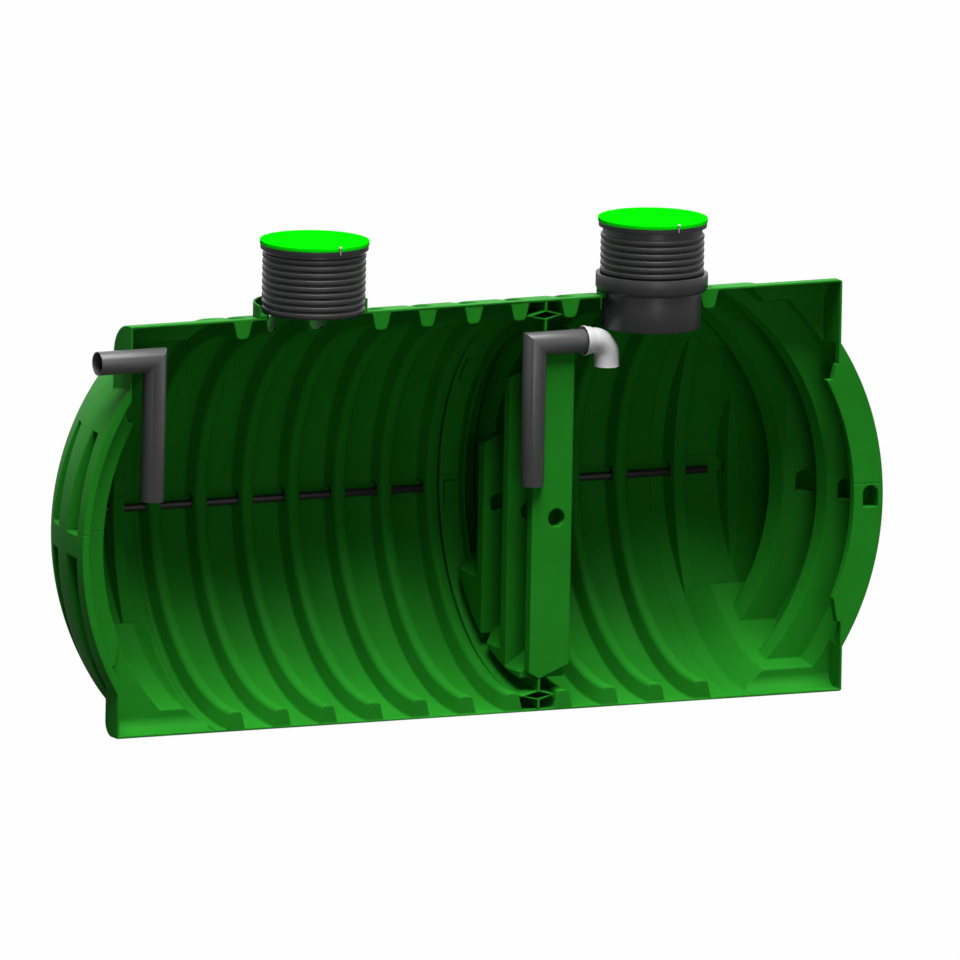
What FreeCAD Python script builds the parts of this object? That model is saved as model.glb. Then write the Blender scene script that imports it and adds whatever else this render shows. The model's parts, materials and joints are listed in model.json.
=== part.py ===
"""Cutaway of a two-chamber underground septic tank, kept half only.

Modelling axes, in millimetres: X along the tank with 0 at the joint of its two
modules, Y away from the cut with 0 on the cut plane, Z up from the underside.
Each finished piece is moved so that the part's origin is the middle of the flat
keel strip that the tank beds on.
"""
import FreeCAD
import Part
import math
import os

from FreeCAD import Vector

# Shell
barrel_r = 950.0              # outside radius of the round barrel
wall = 10.0                   # moulded wall
keel_half = 123.0             # width of the flat underside behind the cut
axis_z = barrel_r             # the barrel stands on its own underside

# Ring ribs: hollow corrugations, open to the outside
rib_pitch = 234.0
rib_depth = 90.0
rib_root = 100.0              # width where the rib leaves the outer skin
rib_crest = 56.0
rib_stop = 35.0               # solid end of each groove beside the cut plane
left_ribs = 7
left_first_rib = -132.0
right_ribs = 4
right_first_rib = 124.0

# Band at mid height, where the grooves are bridged and the ribs are bored
band_z = 888.0
band_height = 104.0
rib_bar = 28.0                # what is left of a ring rib inside its tunnel
tunnel_width = 54.0           # radial room of a tunnel through a ring rib
tunnel_top = 935.0

# Angular segments of the barrel, from the underside round to the crown
segment_names = ("invert", "lower", "side", "upper", "crown")
segment_angle = 180.0 / len(segment_names)

# End caps, in a local X that is 0 on the foot's end face and grows outwards
end_length = 530.0
apex_reach = 192.0
cap_flatness = 333.0          # how much rounder the barrel is than the cap, seen from the side
cap_r_vertical = barrel_r + cap_flatness
cap_r_plan = 1400.0
cap_swing = 75.0              # how far round its upright axis the cap is swept
cap_sag = 70.0                # the cap's fullest height lies this much under the axis
cap_centre_z = axis_z - cap_sag
left_foot_x = -2138.0
right_foot_x = 1535.0
hoop_depth = 137.0
hoop_crest_half = 38.0
hoop_root_half = 78.0
hoop_stop = 14.0              # skin that closes the middle groove beside the cut plane
hoop_tunnel = 76.0
hoop_tunnel_skin = 15.0
hoop_tunnel_low = 841.0
hoop_tunnel_top = 941.0
hoop_tunnel_start = -2.0      # the tunnel's sweep round the cap, in degrees
hoop_tunnel_swing = 44.0
right_hoops = (0.0, 271.0, 545.0)
left_hoops = (130.0, 403.0, 676.0)
right_bored = (True, True, True)
left_bored = (False, True, True)
centre_rib_half = 30.0
centre_rib_depth = 26.0
hoop_groove_ends = ((180.0, 1400.0), (330.0, 1400.0), (430.0, 1380.0))
short_rib_x = (-415.0, -144.0)
short_rib_reach = (620.0, 480.0)
pocket_depth = 80.0           # outside pockets of the barrel beside each lug and foot
pocket_flank = 106.0
left_pocket = 502.0           # from the foot's face to where the pocket starts
right_pocket = 444.0
pocket_angle = 50.0

# Lifting lugs at the crown and feet at the underside of each end
lug_half = 178.0
lug_setback = 34.0
lug_height = 400.0
lug_corner_r = 140.0
lug_sill = (1440.0, 1560.0)   # the middle hoop stops on a slope between these heights
lug_sill_run = 28.0
foot_half = 125.0
foot_height = 330.0
foot_corner_r = 68.0
foot_sill = (437.0, 215.0)
foot_sill_run = 40.0
left_edge_r = 4.0
right_edge_r = 12.0

# Joint between the modules
lozenge_left = 95.0
lozenge_right = 85.0
lozenge_depth = 95.0          # how far under the skin its inner tip lies
lozenge_top_r = barrel_r - lozenge_depth
lozenge_height = 45.0
lozenge_wall = 6.0
stem_half = 6.0
stem_reach = 51.0             # how far the inner stem stands out of the flange
stem_inner_r = lozenge_top_r - stem_reach

anchor_x = (-75.0, 9.0)       # blocks on the flange that hold the ends of the rods
anchor_inner_r = lozenge_top_r - lozenge_wall
anchor_z = (787.0, 926.0)
upper_anchor_angle = 127.0
upper_anchor_half = 70.0

# Partition of the right module: a thick wall with upright valleys in its left side
partition_right = 149.0
partition_left = -75.0
partition_plate = 12.0
pillar_left = -52.0
pillar_half = 49.0
pillar_drop = 256.0           # top of the pillar below the tank's top
pillar_top = 2 * barrel_r - pillar_drop
pillar_foot = (178.0, 148.0, 204.0)   # heights at its left, at the stem and at its right
partition_ribs = ((202.0, 258.0), (454.0, 510.0))
rib_drops_low = (400.0, 740.0)
rib_top_low = tuple(2 * barrel_r - drop for drop in rib_drops_low)
rib_drops_high = (281.0, 622.0)
rib_top_high = tuple(2 * barrel_r - drop for drop in rib_drops_high)
valley_feet = (178.0, 255.0, 545.0)
valley_rise = 150.0
partition_hole_x = (72.0, 35.0, 0.0)
partition_hole_r = 42.0

# Risers, lids and pipes
riser_pipe_r = 236.5
riser_bore_r = 215.0
riser_valley = 9.5
ring_pitch = 31.0
ring_crest = 17.0
ring_root = 26.0
riser_height = 310.0          # top of both risers over the crown
riser_top = 2 * barrel_r + riser_height
first_ring_up = 18.0
ring_gap = 6.0
ring_end = 4.0
rim_height = 22.0
rim_r = 247.0
lid_r = 250.0
lid_height = 18.0
lid_edge = 4.0
left_riser_x = -1182.0
right_riser_x = 533.0
neck_r = 275.0
neck_height = 60.0
neck_root = 60.0              # how far necks reach down to meet the crown
neck_ledge_z = 2 * barrel_r + 15.0
neck_hole_r = 224.0
upstand_hole_r = 231.0
upstand_r = 251.0
socket_r = 256.0
socket_height = 79.0
socket_floor = 10.0
socket_clearance = 0.5
socket_round = 18.0
dip_pipe_r = 226.0
dip_pipe_wall = 10.0
dip_pipe_drop = 152.0
pipe_r = 55.0
pipe_wall = 4.2
inlet_end_x = -2273.0
inlet_spigot = 150.0          # outer length that takes a socket
inlet_pass_clearance = 1.5    # the pipe is slimmer from there on, to pass the lug
inlet_leg_x = -1982.0
inlet_z = 1742.0
inlet_leg_z = 1090.0
cross_leg_x = -55.0
cross_z = 1699.0
cross_leg_z = 1044.0
cross_end_x = 243.0
elbow_socket_x = 190.0
elbow_socket_length = 40.0
elbow_socket_r = 66.0
elbow_r = 58.0
elbow_wall = 6.0
elbow_bend_r = 72.0
elbow_outlet_x = 310.0
elbow_outlet_z = 1575.0
rod_r = 17.0
rod_seat = 20.0               # how far a rod stands in its anchor
rod_gap = 3.0                 # what the left rod leaves free before the cap's inner skin
right_rod_end = 1279.0

origin_shift = Vector(-(left_foot_x + right_foot_x) / 2, -keel_half / 2, 0)
x_axis = Vector(1, 0, 0)
z_axis = Vector(0, 0, 1)
tank_top = 2 * barrel_r
outer_reach = 40.0            # how far cutting tools pass the skin
pipe_cut_extra = 2.0


def block(x0, x1, y0, y1, z0, z1):
    """A box between two corners."""
    return Part.makeBox(x1 - x0, y1 - y0, z1 - z0, Vector(x0, y0, z0))


def rod(radius, start, end):
    """A round bar between two points."""
    way = end - start
    return Part.makeCylinder(radius, way.Length, start, way)


def face(points):
    """A flat face with straight edges."""
    return Part.Face(Part.makePolygon(points + [points[0]]))


def fuse_all(shapes):
    """One shape from several, with its flat seams taken out."""
    shape = shapes[0]
    if len(shapes) > 1:
        shape = shape.multiFuse(shapes[1:])
    return shape.removeSplitter()


def half_barrel(radius, x0, x1):
    """The kept half of a round bar on the tank's axis."""
    bar = Part.makeCylinder(radius, x1 - x0, Vector(x0, 0, axis_z), x_axis)
    return bar.common(block(x0 - 1, x1 + 1, 0, radius + 1, axis_z - radius - 1, axis_z + radius + 1))


def ring(profile, start, end, centre_y=0.0):
    """A profile of (x, radius) points swept about the tank's axis.

    Angles are in degrees from the underside, through the kept side, to the crown.
    """
    flat = face([Vector(x, centre_y, axis_z - r) for x, r in profile])
    flat.rotate(Vector(0, centre_y, axis_z), x_axis, start)
    return flat.revolve(Vector(0, centre_y, axis_z), x_axis, end - start)


def angle_at(z):
    """The angle from the underside at which the skin is at a height."""
    return math.degrees(math.acos((axis_z - z) / barrel_r))


def rib_profile(x, outer, inner, inset):
    """The section of a ring rib between two depths below the skin, less an inset."""
    slope = (rib_root - rib_crest) / 2 / rib_depth
    top = rib_root / 2 - slope * outer - inset
    low = rib_root / 2 - slope * inner - inset
    return [(x - top, barrel_r - outer), (x + top, barrel_r - outer),
            (x + low, barrel_r - inner), (x - low, barrel_r - inner)]


def flank_inset():
    """How far a groove's flank lies inside its rib's flank, measured along X."""
    slope = (rib_root - rib_crest) / 2 / rib_depth
    return wall * math.sqrt(1 + slope * slope)


def arch(width, low, high, centre):
    """The outline of a tunnel with a flat floor and a round top, in Y and Z."""
    radius = width / 2
    spring = high - radius
    left, right = centre - radius, centre + radius
    crown = Part.Arc(Vector(0, right, spring), Vector(0, centre, high), Vector(0, left, spring)).toShape()
    sides = [Part.makeLine(Vector(0, left, spring), Vector(0, left, low)),
             Part.makeLine(Vector(0, left, low), Vector(0, right, low)),
             Part.makeLine(Vector(0, right, low), Vector(0, right, spring))]
    return Part.Face(Part.Wire([crown] + sides))


def rib_tunnel(x):
    """The bore along X through a ring rib at the band."""
    centre = barrel_r - rib_depth + rib_bar + tunnel_width / 2
    outline = arch(tunnel_width, rod_z() - rod_r, tunnel_top, centre)
    tunnel = outline.extrude(Vector(2 * rib_root, 0, 0))
    tunnel.translate(Vector(x - rib_root, 0, 0))
    return tunnel


def rod_z():
    """The height of the rods' axes, at the middle of the band."""
    return band_z


def rod_y():
    """How far the rods lie behind the cut plane, against the ribs' inner bars."""
    return barrel_r - rib_depth + rib_bar + rod_r + 1


def ring_rib(x):
    """A ring rib inside the skin, bored at the band."""
    return ring(rib_profile(x, wall / 2, rib_depth, 0), 0, 180).cut(rib_tunnel(x))


def ring_grooves(x):
    """The two grooves outside a ring rib, below and above the band."""
    section = rib_profile(x, -outer_reach, rib_depth - wall, flank_inset())
    stop = math.degrees(rib_stop / barrel_r)
    low = angle_at(band_z - band_height / 2)
    high = angle_at(band_z + band_height / 2)
    return [ring(section, stop, low), ring(section, high, 180 - stop)]


def keel(x0, x1):
    """The flat strip under the barrel."""
    return block(x0, x1, 0, keel_half, 0, 2 * wall)


def barrel_shell(x0, x1, ribs, hole_x, hole_r):
    """The ribbed half barrel of one module, with its riser opening."""
    skin = half_barrel(barrel_r, x0, x1).fuse(keel(x0, x1))
    skin = skin.cut(half_barrel(barrel_r - wall, x0 - 1, x1 + 1))
    shell = fuse_all([skin] + [ring_rib(x) for x in ribs])
    grooves = [groove for x in ribs for groove in ring_grooves(x)]
    opening = Part.makeCylinder(hole_r, 3 * rib_depth, Vector(hole_x, 0, tank_top - 2 * rib_depth), z_axis)
    return shell.cut(Part.makeCompound(grooves + [opening]))


def wedge(index, x0, x1):
    """The space of one angular segment of the barrel."""
    reach = barrel_r * 1.2
    start = math.radians(index * segment_angle)
    end = math.radians((index + 1) * segment_angle)
    points = [Vector(x0, 0, axis_z)]
    for angle in (start, (start + end) / 2, end):
        points.append(Vector(x0, reach * math.sin(angle), axis_z - reach * math.cos(angle)))
    return face(points).extrude(Vector(x1 - x0, 0, 0))


def cap_space(inset):
    """Everything inside the end cap's face, moved inwards by an inset."""
    axis_x = apex_reach - cap_r_plan
    centre_x = apex_reach - cap_r_vertical
    radius = cap_r_vertical - inset
    low, high = -outer_reach, tank_top + outer_reach

    def on_arc(z):
        return Vector(centre_x + math.sqrt(radius ** 2 - (z - cap_centre_z) ** 2), 0, z)

    arc = Part.Arc(on_arc(low), on_arc(cap_centre_z), on_arc(high)).toShape()
    back = [Part.makeLine(on_arc(high), Vector(axis_x, 0, high)),
            Part.makeLine(Vector(axis_x, 0, high), Vector(axis_x, 0, low)),
            Part.makeLine(Vector(axis_x, 0, low), on_arc(low))]
    outline = Part.Face(Part.Wire([arc] + back))
    return outline.revolve(Vector(axis_x, 0, 0), z_axis, cap_swing)


def cap_x(y, inset=0.0):
    """Where the cap's face stands at mid height, moved inwards by an inset, in local X."""
    return apex_reach - cap_r_plan + math.sqrt((cap_r_plan - inset) ** 2 - y ** 2)


def corner_box(x0, x1, half, tip, base, corner_r, edge_r, inset):
    """A lug or a foot with its far corner rounded, less a wall's inset."""
    way = 1 if tip > base else -1
    tip -= way * inset
    half -= inset
    corner_r -= inset
    bend = math.sqrt(0.5) * corner_r
    arc = Part.Arc(Vector(x0, half - corner_r, tip),
                   Vector(x0, half - corner_r + bend, tip - way * (corner_r - bend)),
                   Vector(x0, half, tip - way * corner_r)).toShape()
    sides = [Part.makeLine(Vector(x0, 0, tip), Vector(x0, half - corner_r, tip)), arc,
             Part.makeLine(Vector(x0, half, tip - way * corner_r), Vector(x0, half, base)),
             Part.makeLine(Vector(x0, half, base), Vector(x0, 0, base)),
             Part.makeLine(Vector(x0, 0, base), Vector(x0, 0, tip))]
    box = Part.Face(Part.Wire(sides)).extrude(Vector(x1 - inset - x0, 0, 0))
    rim = [edge for edge in box.Edges
           if all(abs(v.X - x1 + inset) < 0.01 for v in edge.Vertexes)
           and (edge.BoundBox.YMax > 1) and abs(edge.CenterOfMass.z - base) > 1]
    return box.makeFillet(max(edge_r - inset, 2.0), rim)


def pockets(start, inset):
    """The outside pockets beside the foot and the lug, grown inwards by an inset."""
    tilt = math.atan(pocket_depth / pocket_flank)
    shift = inset * math.tan(tilt / 2)
    over = outer_reach / math.tan(tilt)
    floor = barrel_r - pocket_depth - inset
    section = [(-start - shift - over, barrel_r + outer_reach - inset),
               (-start - shift + pocket_flank, floor),
               (apex_reach, floor), (apex_reach, barrel_r + outer_reach - inset)]
    edge = pocket_angle + math.degrees(inset / barrel_r)
    return [ring(section, 0, edge), ring(section, 180 - edge, 180)]


def sill(low, high, end_x, run, half):
    """The space of a lug or foot that the middle hoop leaves free, with a sloping side."""
    far = tank_top if high > low else 0.0
    outline = [Vector(-end_length, 0, low), Vector(end_x - run, 0, low), Vector(end_x, 0, high),
               Vector(end_x, 0, far), Vector(-end_length, 0, far)]
    return face(outline).extrude(Vector(0, half, 0))


def hoop_prism(centre, shrink, stop):
    """The upright prism of a hoop, wide at the skin and narrow at its crest."""
    crest_half, root_half = hoop_crest_half - shrink, hoop_root_half - shrink
    skin = cap_x(centre)
    crest = skin - hoop_depth
    side = [(-end_length, crest_half), (crest, crest_half), (skin, root_half),
            (apex_reach + outer_reach, root_half)]
    points = [Vector(x, centre + half, 0) for x, half in side]
    points += [Vector(x, centre - half, 0) for x, half in reversed(side)]
    prism = face(points).extrude(Vector(0, 0, tank_top))
    return prism.common(block(-end_length, apex_reach + outer_reach, stop, barrel_r, 0, tank_top))


def short_rib(x, reach, outer_inset):
    """A rib on the side wall that fades out above and below, or the groove outside it."""
    crest_y = barrel_r - rib_depth
    edge_y = math.sqrt((barrel_r - wall) ** 2 - reach ** 2)
    sag = crest_y - edge_y
    radius = (reach ** 2 + sag ** 2) / (2 * sag)
    centre_y = crest_y - radius
    half_low = rib_crest / 2
    half_top = rib_root / 2
    top = rib_depth - wall / 2
    low = 0.0
    if outer_inset:
        half_low -= outer_inset - (rib_root - rib_crest) / 2 / rib_depth * wall
        half_top -= outer_inset
        top = rib_depth + outer_reach
        low = wall
    profile = [(x - half_top, radius + top), (x + half_top, radius + top),
               (x + half_low, radius + low), (x - half_low, radius + low)]
    swing = math.degrees(math.asin(min(0.98, reach / radius))) + 6
    return ring(profile, 90 - swing, 90 + swing, centre_y)


def hoop_bore():
    """The arched tunnel that runs round the cap through its hoops."""
    middle = apex_reach - wall - hoop_tunnel_skin - hoop_tunnel / 2
    outline = arch(hoop_tunnel, hoop_tunnel_low, hoop_tunnel_top, 0)
    outline.rotate(Vector(0, 0, 0), z_axis, -90)
    outline.translate(Vector(middle, 0, 0))
    axis_x = apex_reach - cap_r_plan
    outline.rotate(Vector(axis_x, 0, 0), z_axis, hoop_tunnel_start)
    return outline.revolve(Vector(axis_x, 0, 0), z_axis, hoop_tunnel_swing)


def end_cap(hoops, bored, pocket, edge_r, rib_half, rib_reach):
    """One closed end with its hoops, short ribs, lug and foot, in local X."""
    x0, x1 = -end_length, apex_reach + outer_reach
    lug_x = -lug_setback

    def solid(inset):
        bar = half_barrel(barrel_r - inset, x0 - inset, x1)
        if not inset:
            bar = bar.fuse(keel(x0, -pocket))
        return bar.common(cap_space(inset)).cut(Part.makeCompound(pockets(pocket, inset)))

    def corners(inset):
        start = -pocket - (0 if inset else wall)
        return [corner_box(start, lug_x, lug_half, tank_top, tank_top - lug_height + inset,
                           lug_corner_r, edge_r, inset),
                corner_box(start, 0.0, foot_half, 0.0, foot_height - inset,
                           foot_corner_r, edge_r, inset)]

    inner_corners = corners(wall)
    inside = solid(wall).multiFuse(inner_corners)
    shell = solid(0).multiFuse(corners(0)).cut(inside)

    full = solid(wall / 2)
    crest = cap_space(hoop_depth + wall)
    floor = cap_space(hoop_depth)
    clear = Part.makeCompound(inner_corners)
    sills = [sill(lug_sill[0], lug_sill[1], lug_x - wall, lug_sill_run, lug_half - wall),
             sill(foot_sill[0], foot_sill[1], -wall, foot_sill_run, foot_half - wall)]
    closed = corners(0) + [sill(lug_sill[0] - wall, lug_sill[1], lug_x, lug_sill_run, lug_half),
                           sill(foot_sill[0] + wall, foot_sill[1], 0.0, foot_sill_run, foot_half)]
    groove_wall = wall * math.hypot(1, (hoop_root_half - hoop_crest_half) / hoop_depth)
    parts = [shell]
    cuts = []
    for centre, pierced, (groove_low, groove_high) in zip(hoops, bored, hoop_groove_ends):
        hoop = hoop_prism(centre, 0.0, 0.0).common(full).cut(crest).cut(clear)
        if pierced:
            hoop = hoop.cut(hoop_bore())
        for space in sills:
            hoop = hoop.cut(space)
        parts.append(hoop)
        prism = hoop_prism(centre, groove_wall, hoop_stop)
        for z0, z1 in ((groove_low, band_z - band_height / 2), (band_z + band_height / 2, groove_high)):
            slot = prism.common(block(x0, x1, 0, barrel_r, z0, z1))
            cuts.append(slot.cut(Part.makeCompound([floor] + closed)))
    if rib_half:
        rib = block(x0, x1, 0, rib_half, 0, tank_top).common(full).cut(cap_space(rib_reach + wall))
        for space in [clear] + sills:
            rib = rib.cut(space)
        parts.append(rib)
    for x, reach in zip(short_rib_x, short_rib_reach):
        parts.append(short_rib(x, reach, 0).common(full).cut(rib_tunnel(x)))
        groove = short_rib(x, reach, flank_inset())
        bridge = block(x - rib_root, x + rib_root, 0, barrel_r + outer_reach,
                       band_z - band_height / 2, band_z + band_height / 2)
        cuts.append(groove.cut(bridge))
    return fuse_all(parts).cut(Part.makeCompound(cuts))


def place_end(shape, foot_x, turned):
    """Move an end cap from local X to the tank, mirrored for the left end."""
    if turned:
        shape = shape.mirror(Vector(0, 0, 0), x_axis)
    shape.translate(Vector(foot_x, 0, 0))
    return shape


def halves(shape):
    """An end cap parted at mid height, as its two mouldings are."""
    box = shape.BoundBox
    low = block(box.XMin - 1, box.XMax + 1, -1, barrel_r + 1, -1, axis_z)
    high = block(box.XMin - 1, box.XMax + 1, -1, barrel_r + 1, axis_z, tank_top + 1)
    return shape.common(low), shape.common(high)


def joint_ring(start, end):
    """The hollow flange that joins the modules, over a range of angles."""
    mid = lozenge_top_r + lozenge_height / 2
    base = lozenge_top_r + lozenge_height
    outer = [(-lozenge_left, mid), (0, lozenge_top_r), (lozenge_right, mid), (0, base)]
    shrink = 1 - 2 * lozenge_wall / lozenge_height
    inner = [(x * shrink, mid + (r - mid) * shrink) for x, r in outer]
    body = ring(outer, start, end)
    stems = [ring([(-stem_half, base - lozenge_wall), (stem_half, base - lozenge_wall),
                   (stem_half, barrel_r - wall), (-stem_half, barrel_r - wall)], start, end),
             ring([(-stem_half, stem_inner_r), (stem_half, stem_inner_r),
                   (stem_half, lozenge_top_r + lozenge_wall), (-stem_half, lozenge_top_r + lozenge_wall)],
                  start, end)]
    return fuse_all([body] + stems).cut(ring(inner, start, end))


def with_anchors(lower, upper):
    """Both halves of the flange with the blocks that hold the rods."""
    room = half_barrel(barrel_r - wall, anchor_x[0], anchor_x[1])
    side = block(anchor_x[0], anchor_x[1], anchor_inner_r, barrel_r, anchor_z[0], anchor_z[1]).common(room)
    rods = [rod(rod_r, Vector(x0, rod_y(), rod_z()), Vector(x1, rod_y(), rod_z()))
            for x0, x1 in (left_rod_span(), right_rod_span())]
    lower = lower.fuse(side).removeSplitter().cut(Part.makeCompound(rods))
    high = block(anchor_x[0], anchor_x[1], anchor_inner_r, barrel_r,
                 axis_z - upper_anchor_half, axis_z + upper_anchor_half)
    high.rotate(Vector(0, 0, axis_z), x_axis, upper_anchor_angle - 90)
    return lower, upper.fuse(high.common(room)).removeSplitter()


def left_rod_span():
    """Both ends of the left rod along X."""
    return left_foot_x - cap_x(rod_y() + rod_r, wall) + rod_gap, anchor_x[0] + rod_seat


def right_rod_span():
    """Both ends of the right rod along X."""
    return anchor_x[1] - rod_seat, right_rod_end


def partition():
    """The wall between the chambers, thick and with upright valleys in its left side."""
    plate_x = partition_right - partition_plate
    out_x = partition_left - wall
    top = axis_z + stem_inner_r
    body = half_barrel(stem_inner_r, partition_left, plate_x)
    cuts = []
    valley_sides = [pillar_half] + [y for span in partition_ribs for y in span] + [stem_inner_r]
    for (y0, y1), foot in zip(zip(valley_sides[::2], valley_sides[1::2]), valley_feet):
        outline = [Vector(out_x, 0, foot - wall), Vector(plate_x, 0, foot + valley_rise),
                   Vector(plate_x, 0, top), Vector(out_x, 0, top)]
        valley = face(outline).extrude(Vector(0, y1 - y0, 0))
        valley.translate(Vector(0, y0, 0))
        cuts.append(valley)
    for (y0, y1), low, high in zip(partition_ribs, rib_top_low, rib_top_high):
        outline = [Vector(out_x, 0, low), Vector(plate_x, 0, high),
                   Vector(plate_x, 0, top), Vector(out_x, 0, top)]
        over = face(outline).extrude(Vector(0, y1 - y0 + 2 * wall, 0))
        over.translate(Vector(0, y0 - wall, 0))
        cuts.append(over)
    cuts.append(block(out_x, plate_x, 0, pillar_half + wall, pillar_top, top))
    cuts.append(block(out_x, pillar_left, 0, pillar_half, 0, top))
    left_z, stem_z, right_z = pillar_foot
    past_x = partition_right + wall
    below = [Vector(out_x, 0, 0), Vector(past_x, 0, 0), Vector(past_x, 0, right_z),
             Vector(plate_x, 0, right_z), Vector(0, 0, stem_z), Vector(pillar_left, 0, left_z),
             Vector(out_x, 0, left_z)]
    body = body.cut(Part.makeCompound(cuts))
    plate = half_barrel(stem_inner_r, plate_x, partition_right)
    body = body.fuse(plate).removeSplitter().cut(face(below).extrude(Vector(0, pillar_half, 0)))
    holes = []
    for x, (y0, y1) in zip(partition_hole_x, ((0.0, pillar_half),) + partition_ribs):
        start, end = Vector(x, y0 - wall, band_z), Vector(x, y1 + wall, band_z)
        holes.append(rod(partition_hole_r, start, end))
    return body.cut(Part.makeCompound(holes)).cut(mitred_bar(cross_route(), pipe_r))


def tube(outer_r, inner_r, x, z0, z1):
    """An upright round tube."""
    body = Part.makeCylinder(outer_r, z1 - z0, Vector(x, 0, z0), z_axis)
    return body.cut(Part.makeCylinder(inner_r, z1 - z0 + 2, Vector(x, 0, z0 - 1), z_axis))


def tube_x(outer_r, inner_r, x0, x1, z):
    """A level round tube on the cut plane."""
    body = rod(outer_r, Vector(x0, 0, z), Vector(x1, 0, z))
    return body.cut(rod(inner_r, Vector(x0 - 1, 0, z), Vector(x1 + 1, 0, z)))


def corrugated_riser(x, z0, z1, first_ring):
    """A riser pipe with raised rings outside and a plain bore."""
    low_r = riser_pipe_r - riser_valley
    points = [Vector(x + riser_bore_r, 0, z0), Vector(x + low_r, 0, z0)]
    z = first_ring
    while z + ring_root / 2 < z1 - ring_end:
        points.append(Vector(x + low_r, 0, z - ring_root / 2))
        points.append(Vector(x + riser_pipe_r, 0, z - ring_crest / 2))
        points.append(Vector(x + riser_pipe_r, 0, z + ring_crest / 2))
        points.append(Vector(x + low_r, 0, z + ring_root / 2))
        z += ring_pitch
    points.append(Vector(x + low_r, 0, z1))
    points.append(Vector(x + riser_bore_r, 0, z1))
    return face(points).revolve(Vector(x, 0, 0), z_axis, 360)


def kept_side(shape):
    """The part of a shape behind the cut plane."""
    box = shape.BoundBox
    return shape.common(block(box.XMin - 1, box.XMax + 1, 0, box.YMax + 1, box.ZMin - 1, box.ZMax + 1))


def left_neck():
    """The stepped collar that the left riser stands in."""
    inner = neck_r - wall
    ring_wall = tube(neck_r, inner, left_riser_x, tank_top - neck_root, tank_top + neck_height)
    ledge = tube(inner + 1, neck_hole_r, left_riser_x, tank_top - neck_root, neck_ledge_z)
    return kept_side(fuse_all([ring_wall, ledge])).cut(
        half_barrel(barrel_r, left_riser_x - 2 * neck_r, left_riser_x + 2 * neck_r))


def right_neck():
    """The low upstand round the right opening."""
    body = tube(upstand_r, upstand_hole_r, right_riser_x, tank_top - neck_root, neck_ledge_z)
    return kept_side(body).cut(
        half_barrel(barrel_r, right_riser_x - 2 * upstand_r, right_riser_x + 2 * upstand_r))


def riser_socket():
    """The wide socket round the foot of the right riser."""
    body = Part.makeCylinder(socket_r, socket_height, Vector(right_riser_x, 0, neck_ledge_z), z_axis)
    low = [edge for edge in body.Edges
           if abs(edge.BoundBox.ZMax - neck_ledge_z) < 0.01]
    body = body.makeFillet(min(socket_round, socket_r - upstand_r + 3), low)
    body = body.cut(Part.makeCylinder(riser_pipe_r + socket_clearance, socket_height,
                                      Vector(right_riser_x, 0, neck_ledge_z + socket_floor), z_axis))
    return body.cut(Part.makeCylinder(dip_pipe_r - dip_pipe_wall, socket_height,
                                      Vector(right_riser_x, 0, neck_ledge_z - 1), z_axis))


def lid(x):
    """A flat round cover with an eased rim."""
    z0 = riser_top + rim_height
    disc = Part.makeCylinder(lid_r, lid_height, Vector(x, 0, z0), z_axis)
    top = [edge for edge in disc.Edges if abs(edge.BoundBox.ZMin - z0 - lid_height) < 0.01]
    return disc.makeChamfer(lid_edge, top)


def mitred_bar(points, radius, extra=0.0):
    """A round bar along straight runs, mitred at its corners and longer at both ends."""
    start = points[0] - (points[1] - points[0]).normalize() * extra
    end = points[-1] + (points[-1] - points[-2]).normalize() * extra
    path = Part.makePolygon([start] + points[1:-1] + [end])
    circle = Part.Wire([Part.makeCircle(radius, start, points[1] - points[0])])
    return path.makePipeShell([circle], True, False, 1)


def mitred_pipe(points, radius, thickness):
    """A hollow round pipe along straight runs."""
    return mitred_bar(points, radius).cut(mitred_bar(points, radius - thickness, pipe_cut_extra))


def cross_route():
    """The corners of the pipe that rises from the first chamber and crosses the wall."""
    return [Vector(cross_leg_x, 0, cross_leg_z), Vector(cross_leg_x, 0, cross_z),
            Vector(cross_end_x, 0, cross_z)]


def elbow():
    """The swept elbow that turns the crossover down, with its socket."""
    start_x = elbow_outlet_x - elbow_bend_r
    centre_z = cross_z - elbow_bend_r

    def bent(r, x0, z_end):
        path = Part.Wire([
            Part.makeLine(Vector(x0, 0, cross_z), Vector(start_x, 0, cross_z)),
            Part.Arc(Vector(start_x, 0, cross_z),
                     Vector(start_x + elbow_bend_r * math.sin(math.pi / 4), 0,
                            centre_z + elbow_bend_r * math.cos(math.pi / 4)),
                     Vector(elbow_outlet_x, 0, centre_z)).toShape(),
            Part.makeLine(Vector(elbow_outlet_x, 0, centre_z), Vector(elbow_outlet_x, 0, z_end))])
        circle = Part.Wire([Part.makeCircle(r, Vector(x0, 0, cross_z), x_axis)])
        return path.makePipeShell([circle], True, False, 0)

    body = bent(elbow_r, elbow_socket_x + 5, elbow_outlet_z)
    socket = rod(elbow_socket_r, Vector(elbow_socket_x, 0, cross_z),
                 Vector(elbow_socket_x + elbow_socket_length, 0, cross_z))
    body = fuse_all([body, socket])
    bore = bent(elbow_r - elbow_wall, elbow_socket_x + 6, elbow_outlet_z - 2)
    seat = rod(pipe_r, Vector(elbow_socket_x - 1, 0, cross_z), Vector(cross_end_x, 0, cross_z))
    return body.cut(Part.makeCompound([bore])).cut(seat)


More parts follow.
